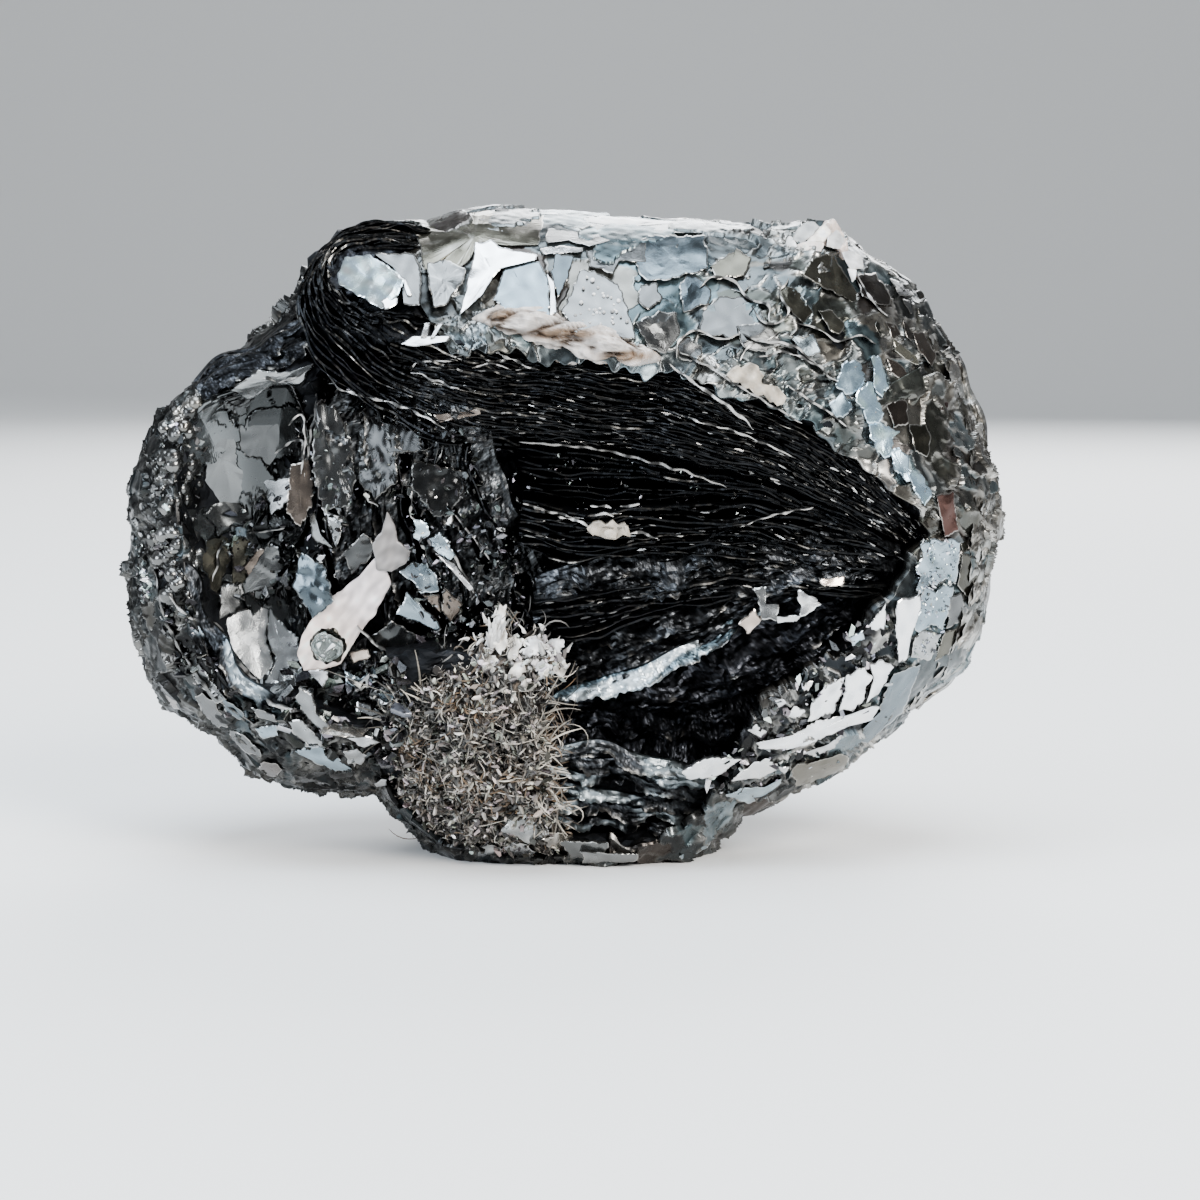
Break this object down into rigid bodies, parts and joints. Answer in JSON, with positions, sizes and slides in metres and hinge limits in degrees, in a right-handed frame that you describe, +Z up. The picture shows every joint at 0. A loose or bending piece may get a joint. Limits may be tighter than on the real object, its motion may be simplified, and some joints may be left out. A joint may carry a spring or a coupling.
{
  "type": "molybdenite specimen",
  "caption": "Rounded nodule of foliated lead-grey molybdenite, broken open at the front to show thin leaves, with a little quartz, a pale blade and a fibrous mat.",
  "frame": {"origin": "middle of the flat resting face under the foot, on the surface that the specimen stands on", "axes": "+X to the viewer's right along the longest extent, +Y away from the viewer (the broken-open front faces -Y), +Z up"},
  "size_m": [0.0708, 0.037, 0.0523],
  "materials": {
    "molybdenite": "bright metallic cleavage faces, near-black between the leaves, olive and brown tarnish on the shell",
    "quartz": "cream, sugary, slightly translucent",
    "pale_mica": "pinkish beige, satin",
    "clear_quartz": "clear, glossy",
    "fibre": "dry matted needles, tan to grey-brown with cream tufts",
    "ochre": "dull ochre"
  },
  "bodies": {
    "root": {"molybdenite": "molybdenite", "quartz_seam": "quartz", "pale_blade": "pale_mica", "quartz_bead": "clear_quartz", "fibre_mat": "fibre", "quartz_tip": "quartz", "seam_grain": "quartz", "leaf_grain": "quartz", "ochre_grain": "ochre"}
  },
  "joints": []
}
